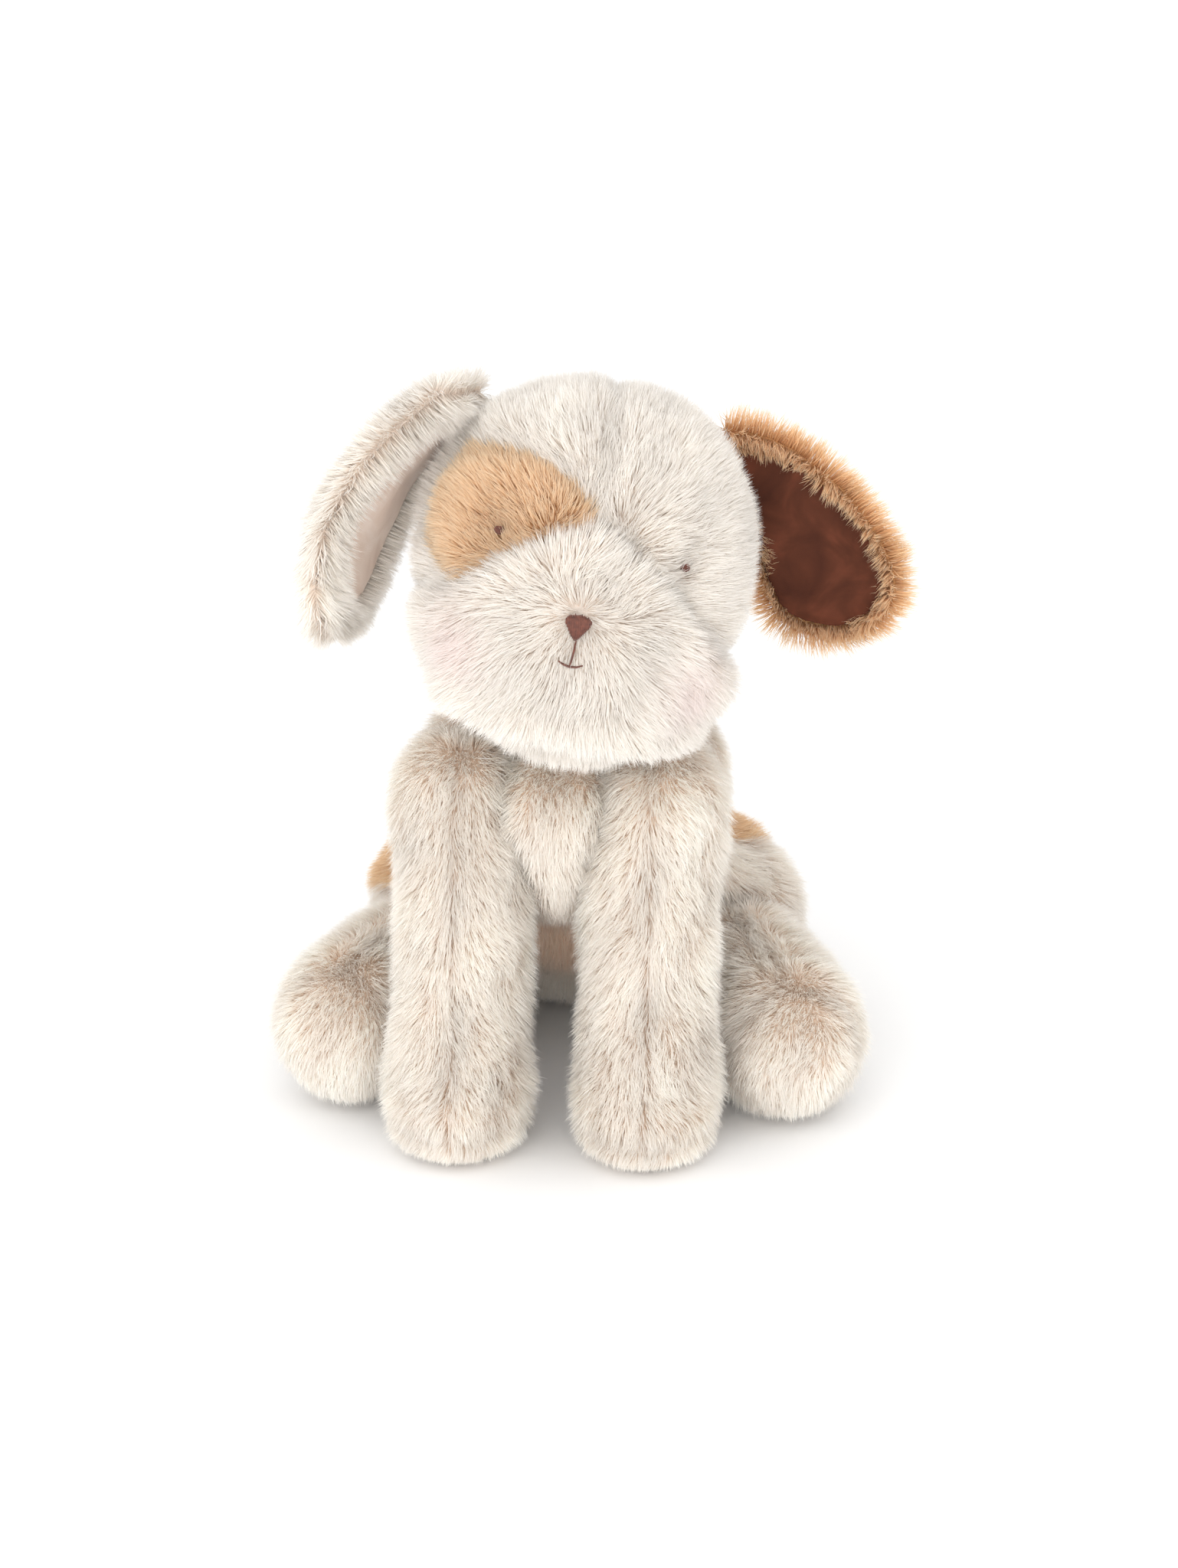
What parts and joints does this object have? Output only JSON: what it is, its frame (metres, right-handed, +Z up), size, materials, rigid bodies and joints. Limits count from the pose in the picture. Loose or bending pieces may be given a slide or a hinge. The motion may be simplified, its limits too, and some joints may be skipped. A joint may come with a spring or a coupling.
{
  "type": "plush dog",
  "caption": "Sitting plush puppy in long-pile cream fabric with a caramel eye patch, back patch and one caramel ear; head, ears, legs and tail bend at their seams.",
  "frame": {"origin": "middle of the flat seat, on the surface that the toy sits on", "axes": "+Z up, the dog faces -Y, +X is the dog's own left"},
  "size_m": [0.1997, 0.2376, 0.2492],
  "materials": {
    "cream_fur": "long-pile faux fur, cream with pinkish-beige roots",
    "caramel_fur": "long-pile faux fur, caramel with darker roots",
    "brown_velour": "short-pile velour, dark brown, brushed",
    "taupe_velour": "short-pile velour, pinkish taupe, brushed",
    "brown_thread": "satin-stitched rayon thread, dark brown",
    "polyester_fibre": "loose white polyester fibre",
    "bag_cloth": "plain non-woven cloth",
    "pellets": "small round plastic pellets"
  },
  "bodies": {
    "torso": {"seat_base": "cream_fur", "chest_panel": "cream_fur", "back_patch": "caramel_fur", "body_side_left": "cream_fur", "body_side_right": "cream_fur", "torso_stuffing": "polyester_fibre", "pellet_bag": "bag_cloth", "pellet_fill": "pellets"},
    "neck": {"neck_stuffing": "polyester_fibre"},
    "head": {"crown_left": "cream_fur", "crown_right": "cream_fur", "eye_patch": "caramel_fur", "muzzle_panel": "cream_fur", "chin_panel": "cream_fur", "head_stuffing": "polyester_fibre", "eye_left": "brown_thread", "eye_right": "brown_thread", "nose": "brown_thread", "mouth_stitch": "brown_thread"},
    "ear_left": {"ear_left_outer": "caramel_fur", "ear_left_lining": "brown_velour"},
    "ear_right": {"ear_right_outer": "cream_fur", "ear_right_lining": "taupe_velour"},
    "front_leg_left": {"front_leg_left_outer": "cream_fur", "front_leg_left_inner": "cream_fur", "front_leg_left_sole": "cream_fur", "front_leg_left_stuffing": "polyester_fibre"},
    "front_leg_right": {"front_leg_right_outer": "cream_fur", "front_leg_right_inner": "cream_fur", "front_leg_right_sole": "cream_fur", "front_leg_right_stuffing": "polyester_fibre"},
    "hind_leg_left": {"hind_leg_left_outer": "cream_fur", "hind_leg_left_inner": "cream_fur", "hind_leg_left_sole": "cream_fur", "hind_leg_left_stuffing": "polyester_fibre"},
    "hind_leg_right": {"hind_leg_right_outer": "cream_fur", "hind_leg_right_inner": "cream_fur", "hind_leg_right_sole": "cream_fur", "hind_leg_right_stuffing": "polyester_fibre"},
    "tail": {"tail_upper": "cream_fur", "tail_lower": "cream_fur", "tail_stuffing": "polyester_fibre"}
  },
  "joints": [
    {"name": "neck_turn", "type": "hinge", "parent": "torso", "child": "neck", "pos_m": [0.004, -0.098, 0.143], "axis": [0, 0, 1], "range_deg": [-20, 20], "stiffness_Nm_per_rad": 2},
    {"name": "head_nod", "type": "hinge", "parent": "neck", "child": "head", "pos_m": [0.004, -0.098, 0.143], "axis": [1, 0, 0], "range_deg": [-8, 8], "stiffness_Nm_per_rad": 3},
    {"name": "ear_left_flap", "type": "hinge", "parent": "head", "child": "ear_left", "pos_m": [0.044, -0.08, 0.23], "axis": [0.2501, 0, -0.9682], "range_deg": [-25, 25], "stiffness_Nm_per_rad": 0.4},
    {"name": "ear_right_flap", "type": "hinge", "parent": "head", "child": "ear_right", "pos_m": [-0.028, -0.101, 0.244], "axis": [0.2774, 0.9379, -0.2081], "range_deg": [0, 50], "stiffness_Nm_per_rad": 0.4},
    {"name": "front_leg_left_swing", "type": "hinge", "parent": "torso", "child": "front_leg_left", "pos_m": [0.029, -0.107, 0.109], "axis": [-1, 0, 0], "range_deg": [-3, 36], "stiffness_Nm_per_rad": 3},
    {"name": "front_leg_right_swing", "type": "hinge", "parent": "torso", "child": "front_leg_right", "pos_m": [-0.033, -0.107, 0.109], "axis": [-1, 0, 0], "range_deg": [-3, 36], "stiffness_Nm_per_rad": 3},
    {"name": "hind_leg_left_lift", "type": "hinge", "parent": "torso", "child": "hind_leg_left", "pos_m": [0.054, -0.04, 0.026], "axis": [-1, 0, 0], "range_deg": [0, 35], "stiffness_Nm_per_rad": 2},
    {"name": "hind_leg_right_lift", "type": "hinge", "parent": "torso", "child": "hind_leg_right", "pos_m": [-0.054, -0.04, 0.026], "axis": [-1, 0, 0], "range_deg": [0, 35], "stiffness_Nm_per_rad": 2},
    {"name": "tail_wag", "type": "hinge", "parent": "torso", "child": "tail", "pos_m": [0, 0.049, 0.031], "axis": [0, 0, 1], "range_deg": [-20, 20], "stiffness_Nm_per_rad": 0.4}
  ]
}
